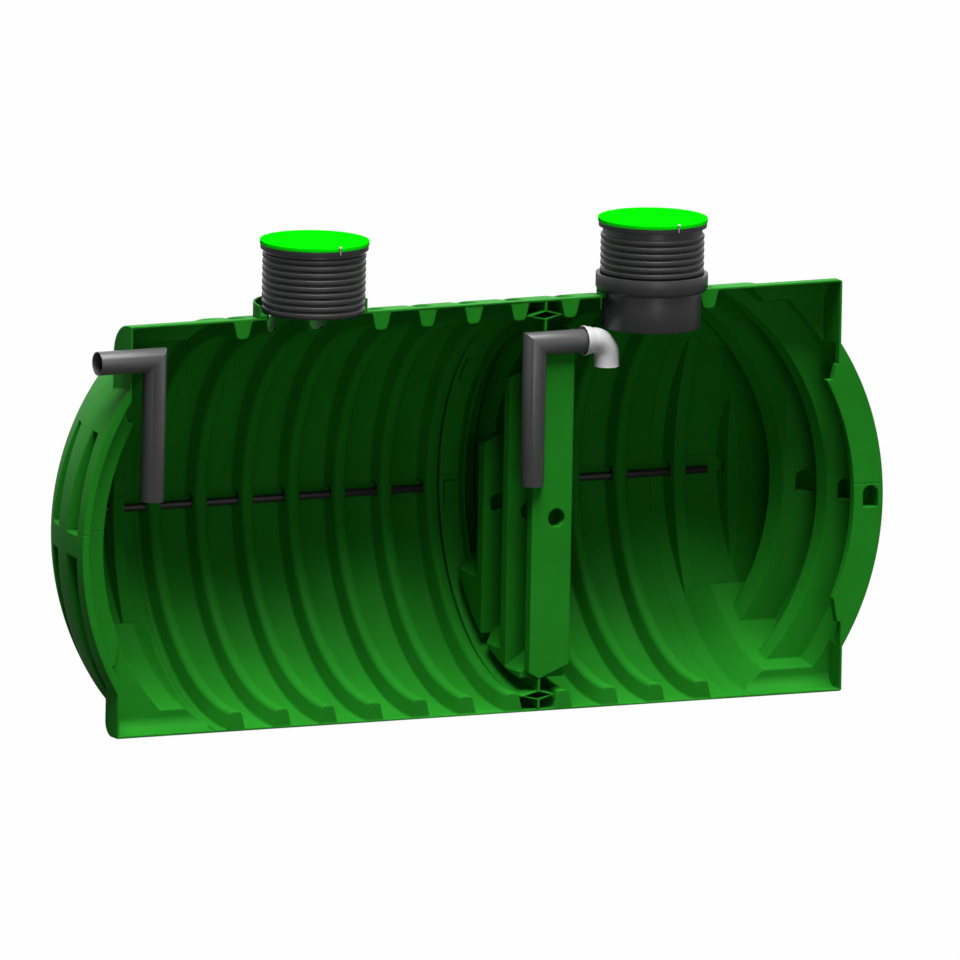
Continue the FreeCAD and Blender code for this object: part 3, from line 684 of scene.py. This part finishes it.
@dataclass
class Risers:
    """Both corrugated risers with their rims, covers, latches and the socket on the right.

    Args:
        left_x: the left riser's axis.
        right_x: the right riser's axis.
        crest_r: radius over the rings.
        valley_r: radius between them.
        bore_r: radius inside.
        pitch: from ring to ring.
        crest: a ring's width at its top.
        root: its width at its foot.
        feet: heights of the left and the right riser's lower ends.
        first_rings: heights of their lowest rings.
        top: the height of both risers' ends.
        top_land: the least plain length over the highest ring.
        rim_r: radius of the rims.
        rim_height: their height.
        slots: where the hand slots start and end, left of the axis and right of it.
        slot_height: their height under the cover's edge.
        slot_share: what share of the rim's radius is left behind them.
        lid_r: radius of the covers.
        lid_height: their height.
        lid_groove: both edges of the ring sunk in a cover.
        groove_depth: how deep it is.
        mark_r: radius of the mould's mark in the middle of a cover.
        draft: how far a sunk edge leans, and the mark's depth.
        latch_place: the latch's place right of the axis and its gap from the cover's edge.
        latch_outline: its radii and their heights over the cover.
        nub_place: the nub's place from the axis along X and its share of the rim's radius along Y.
        nub_foot: its foot over the riser's end.
        nub_outline: its radii and their heights over its foot.
        socket_foot: the height of the socket's underside.
        socket_lip: the radii round its underside and their heights over it.
        socket_r: the socket's radius.
        socket_bore: the radius inside it.
        socket_height: its height.
        socket_floor: the thickness of its floor.
        dip_r: the dip pipe's inside and outside radius.
        dip_foot: the height of its lower end.
    """

    left_x: float = -0.8805
    right_x: float = 0.8345
    crest_r: float = 0.2365
    valley_r: float = 0.227
    bore_r: float = 0.215
    pitch: float = 0.031
    crest: float = 0.017
    root: float = 0.026
    feet: tuple[float, float] = (1.915, 1.925)
    first_rings: tuple[float, float] = (1.933, 2.010)
    top: float = 2.210
    top_land: float = 0.004
    rim_r: float = 0.247
    rim_height: float = 0.022
    slots: Pairs = ((-0.102, -0.008), (0.040, 0.120))
    slot_height: float = 0.006
    slot_share: float = 0.955
    lid_r: float = 0.250
    lid_height: float = 0.018
    lid_groove: tuple[float, float] = (0.236, 0.228)
    groove_depth: float = 0.0015
    mark_r: float = 0.012
    draft: float = 0.001
    latch_place: tuple[float, float] = (0.008, 0.002)
    latch_outline: Pairs = ((0.0030, -0.034), (0.0034, -0.006), (0.0062, -0.004), (0.0066, 0.003),
                            (0.0040, 0.006))
    nub_place: tuple[float, float] = (-0.155, 0.77)
    nub_foot: float = 0.004
    nub_outline: Pairs = ((0.009, 0.0), (0.009, 0.030), (0.006, 0.037))
    socket_foot: float = 1.915
    socket_lip: Pairs = ((0.239, 0.0), (0.2465, 0.0025), (0.2525, 0.0085), (0.256, 0.017))
    socket_r: float = 0.256
    socket_bore: float = 0.2375
    socket_height: float = 0.079
    socket_floor: float = 0.010
    dip_r: tuple[float, float] = (0.216, 0.226)
    dip_foot: float = 1.748

    def build(self, grey: bpy.types.Material, green: bpy.types.Material, pale: bpy.types.Material) -> None:
        """Builds every piece of both risers.

        Args:
            grey: the finish of the risers.
            green: the finish of the covers.
            pale: the finish of the latches.
        """
        sides = zip(("left", "right"), (self.left_x, self.right_x), self.feet, self.first_rings)
        for side, x, foot, first in sides:
            riser = self.corrugated(f"{side}_riser_pipe", x, foot, first)
            fit(riser, grey, "riser_grey", f"{side}_riser")
        rim = self.rim()
        lid = self.lid()
        latch = self.latch()
        nub = self.nub()
        shift = (self.right_x - self.left_x, 0, 0)
        fit(copied(rim, "right_slotted_rim", shift), grey, "riser_grey", "right_rim")
        fit(rim, grey, "riser_grey", "left_rim")
        fit(copied(lid, "right_cover", shift), green, "lid_green", "right_lid")
        fit(lid, green, "lid_green", "left_lid")
        fit(copied(latch, "right_latch", shift), pale, "elbow_white")
        fit(copied(nub, "right_nub", shift), grey, "riser_grey")
        fit(latch, pale, "elbow_white")
        fit(nub, grey, "riser_grey")
        fit(self.socket(), grey, "riser_grey", "riser_socket")
        fit(self.dip_pipe(), grey, "riser_grey", "dip_pipe")

    def corrugated(self, name: str, x: float, foot: float, first: float) -> bpy.types.Object:
        """A riser with rounded rings round a plain bore.

        Args:
            name: the piece's name.
            x: its axis.
            foot: its lower end.
            first: the height of its first ring.

        Returns:
            The riser.
        """
        outline = [(self.bore_r, foot), (self.valley_r, foot)]
        height = first
        while height + self.root / 2 < self.top - self.top_land:
            outline += [(self.valley_r, height - self.root / 2), (self.crest_r, height - self.crest / 2),
                        (self.crest_r, height + self.crest / 2), (self.valley_r, height + self.root / 2)]
            height += self.pitch
        outline += [(self.valley_r, self.top), (self.bore_r, self.top)]
        riser = turned_ring(name, (x, CUT_Y, 0), outline, sides=112)
        ease(riser, width=0.0042)
        return riser

    def rim(self) -> bpy.types.Object:
        """The left rim, with two hand slots sunk under the cover's edge.

        Returns:
            The rim.
        """
        low, high = self.top, self.top + self.rim_height
        sill = high - self.slot_height
        outline = [(self.bore_r, low), (self.rim_r, low), (self.rim_r, sill), (self.rim_r, high),
                   (self.bore_r, high)]
        rim = turned_ring("left_slotted_rim", (self.left_x, CUT_Y, 0), outline, sides=144)
        take_up(rim)
        for face in rim.data.polygons:
            out = face.center - Vector((self.left_x, CUT_Y, face.center.z))
            outside = out.length > self.rim_r - self.draft and face.center.z > sill
            face.select = outside and out.y < 0 and any(start < out.x < end for start, end in self.slots)
        bpy.ops.object.mode_set(mode="EDIT")
        bpy.ops.mesh.select_mode(type="FACE")
        bpy.ops.mesh.extrude_region_move(TRANSFORM_OT_translate={"value": (0, 0, 0)})
        bpy.ops.transform.resize(value=(self.slot_share, self.slot_share, 1),
                                 center_override=(self.left_x, CUT_Y, high))
        face_outwards()
        rim = settle("left_slotted_rim")
        ease(rim, width=0.0012, segments=2, above=50)
        return rim

    def lid(self) -> bpy.types.Object:
        """The left cover, with an eased edge, a sunk ring and a small mark of its mould in the middle.

        Returns:
            The cover.
        """
        low = self.top + self.rim_height
        high = low + self.lid_height
        groove_out, groove_in = self.lid_groove
        sunk = high - self.groove_depth
        outline = [(self.lid_r, low), (self.lid_r, high),
                   (groove_out, high), (groove_out - self.draft, sunk),
                   (groove_in + self.draft, sunk), (groove_in, high), (self.mark_r, high),
                   (self.mark_r - 2 * self.draft, high - self.draft), (2 * self.draft, high - self.draft)]
        lid = turned_disc("left_cover", (self.left_x, CUT_Y, 0), outline, sides=128)
        ease(lid, width=0.0035, above=50)
        return lid

    def latch(self) -> bpy.types.Object:
        """The small pin that locks the left cover at the front.

        Returns:
            The latch.
        """
        aside, gap = self.latch_place
        high = self.top + self.rim_height + self.lid_height
        centre = (self.left_x + aside, CUT_Y - self.lid_r - gap, 0)
        latch = turned_disc("left_latch", centre, lifted(self.latch_outline, high), sides=24)
        ease(latch, width=0.0008, segments=2)
        return latch

    def nub(self) -> bpy.types.Object:
        """The stub behind the left cover that its hinge strap hooks on.

        Returns:
            The nub.
        """
        aside, back = self.nub_place
        low = self.top + self.nub_foot
        centre = (self.left_x + aside, CUT_Y + self.rim_r * back, 0)
        nub = turned_disc("left_nub", centre, lifted(self.nub_outline, low), sides=24)
        ease(nub, width=0.0015, segments=2)
        return nub

    def socket(self) -> bpy.types.Object:
        """The wide socket round the right riser's foot, with a floor and a rounded underside.

        Returns:
            The socket.
        """
        foot, hole = self.socket_foot, self.dip_r[0]
        top, floor = foot + self.socket_height, foot + self.socket_floor
        outline = [(hole, foot), *lifted(self.socket_lip, foot), (self.socket_r, top),
                   (self.socket_bore, top), (self.socket_bore, floor), (hole, floor)]
        socket = turned_ring("right_riser_socket", (self.right_x, CUT_Y, 0), outline, sides=112)
        ease(socket, width=0.0018, segments=2, above=40)
        return socket

    def dip_pipe(self) -> bpy.types.Object:
        """The short wide pipe that hangs from the socket into the tank.

        Returns:
            The pipe.
        """
        inner, outer = self.dip_r
        outline = [(inner, self.dip_foot), (outer, self.dip_foot), (outer, self.socket_foot),
                   (inner, self.socket_foot)]
        pipe = turned_ring("right_dip_pipe", (self.right_x, CUT_Y, 0), outline, sides=112)
        ease(pipe, width=0.0012, segments=2, above=50)
        return pipe


@dataclass
class Pipework:
    """The inlet drop, the crossover with its elbow and the tie rods.

    Args:
        radius: outside radius of the drain pipe.
        wall: its wall.
        sides: sides of the pipes and of the elbow.
        inlet: the free end, the corner, the axis's height and the foot of the inlet.
        cross: the free end, the corner, the axis's height and the foot of the crossover.
        overrun: how far a run is drawn past its corner before it is cut, in radii.
        mouth: where the elbow's socket starts.
        beads: the socket's radii and their places from its mouth.
        elbow_r: the elbow's radius at the bend.
        bend_x: where its bend starts.
        bend_r: the bend's radius.
        bend_steps: its steps.
        outlet_z: the height of its outlet.
        lip: the last stations' steps down to the outlet and their growth.
        elbow_wall: its wall.
        rod_r: outside radius of a tie rod.
        rod_wall: its wall.
        rod_line: the rods' place along Y and Z.
        rod_spans: both ends of each rod.
    """

    radius: float = 0.0546
    wall: float = 0.0042
    sides: int = 64
    inlet: tuple[float, float, float, float] = (-1.9715, -1.6805, 1.742, 1.090)
    cross: tuple[float, float, float, float] = (0.5445, 0.2465, 1.699, 1.044)
    overrun: float = 1.5
    mouth: float = 0.4915
    beads: Pairs = ((0.0655, 0.0), (0.0690, 0.002), (0.0690, 0.006), (0.0662, 0.008), (0.0662, 0.0095),
                    (0.0678, 0.0115), (0.0650, 0.015), (0.0630, 0.036), (0.0590, 0.042))
    elbow_r: float = 0.0580
    bend_x: float = 0.5395
    bend_r: float = 0.072
    bend_steps: int = 20
    outlet_z: float = 1.575
    lip: Pairs = ((0.001, 1.02), (0.003, 1.0))
    elbow_wall: float = 0.006
    rod_r: float = 0.017
    rod_wall: float = 0.005
    rod_line: tuple[float, float] = (0.8445, 0.888)
    rod_spans: Pairs = ((-1.6648, 0.2465), (0.2905, 1.5805))

    def build(self, grey: bpy.types.Material, white: bpy.types.Material, dark: bpy.types.Material) -> None:
        """Builds every pipe and rod.

        Args:
            grey: the finish of the drain pipes.
            white: the finish of the elbow.
            dark: the finish of the rods.
        """
        fit(self.mitred("inlet_drop_pipe", *self.inlet), grey, "pipe_grey", "inlet_pipe")
        fit(self.mitred("crossover_drop_pipe", *self.cross), grey, "pipe_grey", "crossover_pipe")
        fit(self.elbow(), white, "elbow_white", "crossover_elbow")
        for side, span in zip(("left", "right"), self.rod_spans):
            fit(self.rod(f"{side}_rod_tube", *span), dark, "rod_dark", f"{side}_tie_rod")

    def run(self, centre: Point, start: float, end: float, way: Way, keep: Vector,
            corner: Vector) -> bpy.types.Object:
        """One straight run of pipe, cut off at the mitre.

        Args:
            centre: a point of its axis.
            start: where its free end is along the axis.
            end: where the corner is.
            way: the axis.
            keep: points to the side of the mitre that stays.
            corner: the corner.

        Returns:
            The run, without a wall yet.
        """
        past = end + math.copysign(self.overrun * self.radius, end - start)
        drawn_out(centre, [(self.radius, start), (self.radius, past)], self.sides, way)
        bpy.ops.mesh.select_all(action="SELECT")
        bpy.ops.mesh.bisect(plane_co=corner, plane_no=keep, clear_inner=True)
        return settle("run")

    def mitred(self, name: str, free_x: float, corner_x: float, height: float,
               foot: float) -> bpy.types.Object:
        """A level pipe that drops at a mitred corner.

        Args:
            name: the piece's name.
            free_x: the level run's free end.
            corner_x: the corner and the drop's axis.
            height: the level run's axis.
            foot: the drop's lower end.

        Returns:
            The pipe.
        """
        corner = Vector((corner_x, CUT_Y, height))
        away = Vector((math.copysign(1, free_x - corner_x), 0, 1)).normalized()
        level = self.run((0, CUT_Y, height), free_x, corner_x, Way.ALONG, away, corner)
        drop = self.run((corner_x, CUT_Y, 0), foot, height, Way.UP, -away, corner)
        bare_bench()
        level.select_set(True)
        drop.select_set(True)
        bpy.context.view_layer.objects.active = level
        bpy.ops.object.join()
        bpy.ops.object.mode_set(mode="EDIT")
        bpy.ops.mesh.select_all(action="SELECT")
        bpy.ops.mesh.remove_doubles(threshold=MERGE)
        face_outwards()
        pipe = settle(name)
        self.thicken(pipe, self.wall)
        ease(pipe, width=0.0007, segments=2, above=50)
        return pipe

    def thicken(self, pipe: bpy.types.Object, wall: float) -> None:
        """Gives an open pipe its wall, inwards.

        Args:
            pipe: the open pipe, its faces turned outwards.
            wall: the wall.
        """
        take_up(pipe)
        thick = pipe.modifiers.new("wall", "SOLIDIFY")
        thick.thickness = wall
        thick.offset = -1
        thick.use_even_offset = True
        bpy.ops.object.modifier_apply(modifier=thick.name)

    def elbow(self) -> bpy.types.Object:
        """The white elbow: a beaded socket, a swept bend and a plain outlet.

        Returns:
            The elbow.
        """
        height = self.cross[2]
        outline = [*lifted(self.beads, self.mouth), (self.elbow_r, self.bend_x)]
        drawn_out((0, CUT_Y, height), outline, self.sides, Way.ALONG)
        bpy.ops.mesh.spin(steps=self.bend_steps, angle=math.radians(90), axis=(0, -1, 0),
                          center=(self.bend_x, CUT_Y, height - self.bend_r))
        outlet = (self.bend_x + self.bend_r, CUT_Y, self.outlet_z)
        plain = height - self.bend_r - self.outlet_z - sum(drop for drop, growth in self.lip)
        for drop, growth in ((plain, 1.0), *self.lip):
            bpy.ops.mesh.extrude_region_move(TRANSFORM_OT_translate={"value": (0, 0, -drop)})
            bpy.ops.transform.resize(value=(growth, growth, 1), center_override=outlet)
        bpy.ops.mesh.select_all(action="SELECT")
        bpy.ops.mesh.remove_doubles(threshold=MERGE)
        face_outwards()
        elbow = settle("beaded_elbow")
        self.thicken(elbow, self.elbow_wall)
        ease(elbow, width=0.0009, segments=2, above=40)
        return elbow

    def rod(self, name: str, start: float, end: float) -> bpy.types.Object:
        """A tie rod: a thick tube with open ends.

        Args:
            name: the piece's name.
            start: its left end.
            end: its right end.

        Returns:
            The rod.
        """
        inner = self.rod_r - self.rod_wall
        outline = [(inner, start), (self.rod_r, start), (self.rod_r, end), (inner, end)]
        tube = turned_ring(name, (0, *self.rod_line), outline, sides=32, way=Way.ALONG)
        ease(tube, width=0.001, segments=2, above=50)
        return tube


@dataclass
class Moulding:
    """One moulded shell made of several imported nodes, with its edges rounded.

    Args:
        name: the piece's name.
        nodes: the solids that it is made from.
        ends: the places along X where it meets its neighbours.
        opening: the axis along X and the radius of the round opening in its crown, whose rim stays sharp.
        seams: angles of the planes through the barrel's axis where the nodes meet, from the underside up.
        merge: points nearer than this are one.
        near: how far an edge may lie from a plane that it counts as part of.
        sharp: the least angle of an edge that is rounded, in degrees.
        smooth: the greatest angle between faces that look smooth, in degrees.
        flat: the greatest angle between faces that become one, in degrees.
        crest_r: distance from the barrel's axis below which an edge belongs to a rib's crest.
        crest_round: rounding of the crests.
        root_round: rounding of the other edges.
        skin_r: distance from the axis beyond which edges along the tank stay sharp.
        tunnel_y: distance from the middle beyond which the rods' tunnels lie.
        tunnel_z: the heights between which they lie.
        tunnel_r: distances from the axis between which their walls lie.
    """

    name: str
    nodes: tuple[str, ...]
    ends: tuple[float, float]
    opening: tuple[float, float]
    seams: tuple[float, ...] = (36.0, 72.0, 108.0, 144.0)
    merge: float = 2e-5
    near: float = 1e-4
    sharp: float = 25.0
    smooth: float = 32.0
    flat: float = 0.6
    crest_r: float = 0.870
    crest_round: float = 0.016
    root_round: float = 0.008
    skin_r: float = 0.862
    tunnel_y: float = 0.7
    tunnel_z: tuple[float, float] = (0.862, 0.940)
    tunnel_r: tuple[float, float] = (0.868, 0.930)

    def build(self, green: bpy.types.Material) -> bpy.types.Object:
        """Makes the moulding.

        Args:
            green: its finish.

        Returns:
            The moulding.
        """
        self.gather()
        self.open_seams()
        for crest, width in ((True, self.crest_round), (False, self.root_round)):
            self.pick_edges(crest)
            bpy.ops.mesh.bevel(offset=width, segments=3, affect="EDGES", clamp_overlap=False)
        face_outwards()
        piece = settle(self.name)
        take_up(piece)
        bpy.ops.object.shade_smooth_by_angle(angle=math.radians(self.smooth))
        return fit(piece, green, "tank_green", *self.nodes)

    def gather(self) -> None:
        """Copies the nodes, joins the copies and merges their points."""
        bare_bench()
        for node in self.nodes:
            frame["nodes"][node].select_set(True)
        bpy.context.view_layer.objects.active = frame["nodes"][self.nodes[0]]
        bpy.ops.object.duplicate(linked=False)
        bpy.ops.object.join()
        bpy.ops.object.mode_set(mode="EDIT")
        self.merge_points()

    def merge_points(self) -> None:
        """Merges what lies in one place and leaves everything selected."""
        bpy.ops.mesh.select_mode(type="VERT")
        bpy.ops.mesh.select_all(action="SELECT")
        bpy.ops.mesh.remove_doubles(threshold=self.merge)

    def on_seam(self, points: Sequence[Vector]) -> bool:
        """Looks whether points lie on one of the planes where nodes meet.

        Args:
            points: the points.

        Returns:
            Whether one plane holds them all.
        """
        for angle in self.seams:
            turn = math.radians(angle)
            across = Vector((0, math.cos(turn), math.sin(turn)))
            offsets = (abs((point - Vector((0, CUT_Y, AXIS_Z))).dot(across)) for point in points)
            if max(offsets) < self.near:
                return True
        return False

    def open_seams(self) -> None:
        """Takes out the faces between the nodes and joins what is left."""
        bpy.ops.mesh.select_mode(type="FACE")
        bpy.ops.mesh.select_all(action="DESELECT")
        bpy.ops.object.mode_set(mode="OBJECT")
        mesh = bpy.context.object.data
        for face in mesh.polygons:
            face.select = self.on_seam([mesh.vertices[index].co for index in face.vertices])
        bpy.ops.object.mode_set(mode="EDIT")
        bpy.ops.mesh.delete(type="ONLY_FACE")
        self.merge_points()
        bpy.ops.mesh.delete_loose()
        bpy.ops.mesh.select_all(action="SELECT")
        bpy.ops.mesh.dissolve_limited(angle_limit=math.radians(self.flat), use_dissolve_boundaries=False)
        face_outwards()

    def pick_edges(self, crest: bool) -> None:
        """Selects the edges to be rounded.

        Args:
            crest: True for the ribs' crests, False for all the others.
        """
        bpy.ops.mesh.select_all(action="DESELECT")
        bpy.ops.mesh.select_mode(type="EDGE")
        bpy.ops.mesh.edges_select_sharp(sharpness=math.radians(self.sharp))
        bpy.ops.object.mode_set(mode="OBJECT")
        mesh = bpy.context.object.data
        chosen = [edge.index for edge in mesh.edges if edge.select and self.is_round(
            *(mesh.vertices[index].co for index in edge.vertices), crest)]
        for parts in (mesh.polygons, mesh.edges, mesh.vertices):
            for part in parts:
                part.select = False
        for index in chosen:
            mesh.edges[index].select = True
        bpy.ops.object.mode_set(mode="EDIT")
        log.info("%s: %d %s edges", self.name, len(chosen), "crest" if crest else "other")

    def is_round(self, first: Vector, last: Vector, crest: bool) -> bool:
        """Looks whether the mould rounds an edge.

        Args:
            first: the edge's first end.
            last: its last end.
            crest: True while the ribs' crests are rounded, False while the others are.

        Returns:
            Whether it is rounded now.
        """
        middle = (first + last) / 2
        reach = math.hypot(middle.y - CUT_Y, middle.z - AXIS_Z)
        along = abs(last.x - first.x) > self.near
        on_cut = max(abs(first.y - CUT_Y), abs(last.y - CUT_Y)) < self.near
        on_end = any(max(abs(first.x - x), abs(last.x - x)) < self.near for x in self.ends)
        axis_x, radius = self.opening
        in_opening = middle.z > AXIS_Z and math.hypot(middle.x - axis_x, middle.y - CUT_Y) < radius
        at_tunnel = middle.y > self.tunnel_y and self.tunnel_z[0] < middle.z < self.tunnel_z[1]
        in_tunnel = at_tunnel and (along or self.tunnel_r[0] < reach < self.tunnel_r[1])
        if on_cut or on_end or in_opening or in_tunnel or (along and reach > self.skin_r):
            return False
        return (reach < self.crest_r) == crest


@dataclass
class Shells:
    """The ribbed shells of both chambers.

    Args:
        parts: the segments of a shell.
        ends: where each shell starts and ends along X.
        openings: the axis along X and the radius of the opening in each crown.
    """

    parts: tuple[str, ...] = ("invert", "lower", "side", "upper", "crown")
    ends: Pairs = ((-1.3065, JOINT_X), (JOINT_X, 1.3065))
    openings: Pairs = ((-0.8805, 0.226), (0.8345, 0.233))

    def build(self, green: bpy.types.Material) -> None:
        """Builds both shells.

        Args:
            green: their finish.
        """
        for side, ends, opening in zip(("left", "right"), self.ends, self.openings):
            nodes = tuple(f"{side}_shell_{part}" for part in self.parts)
            Moulding(f"{side}_ribbed_shell", nodes, ends, opening).build(green)


def dress(node: str, material: bpy.types.Material) -> None:
    """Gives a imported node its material.

    Args:
        node: the node's name.
        material: its new finish.
    """
    piece = frame["nodes"][node]
    if not piece.material_slots:
        piece.data.materials.append(material)
    for slot in piece.material_slots:
        slot.material = material


def dress_nodes(materials: dict[str, bpy.types.Material]) -> None:
    """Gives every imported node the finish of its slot.

    Args:
        materials: the finishes by slot.
    """
    for entry in frame["record"]["subparts"]:
        dress(entry["node"], materials[entry["material_slot"]])
        log.info("dressed %s in %s", entry["node"], entry["material_slot"])


def main() -> None:
    """Builds the stage, the finishes and the pieces in order."""
    logging.basicConfig(level=logging.INFO, format="%(name)s: %(message)s")
    scene = bpy.context.scene
    scene.view_settings.view_transform = "Standard"
    Stage().build()
    materials = Palette().build()
    dress_nodes(materials)
    Shells().build(materials["tank_green"])
    Risers().build(materials["riser_grey"], materials["lid_green"], materials["elbow_white"])
    Pipework().build(materials["pipe_grey"], materials["elbow_white"], materials["rod_dark"])


if __name__ == "__main__":
    main()
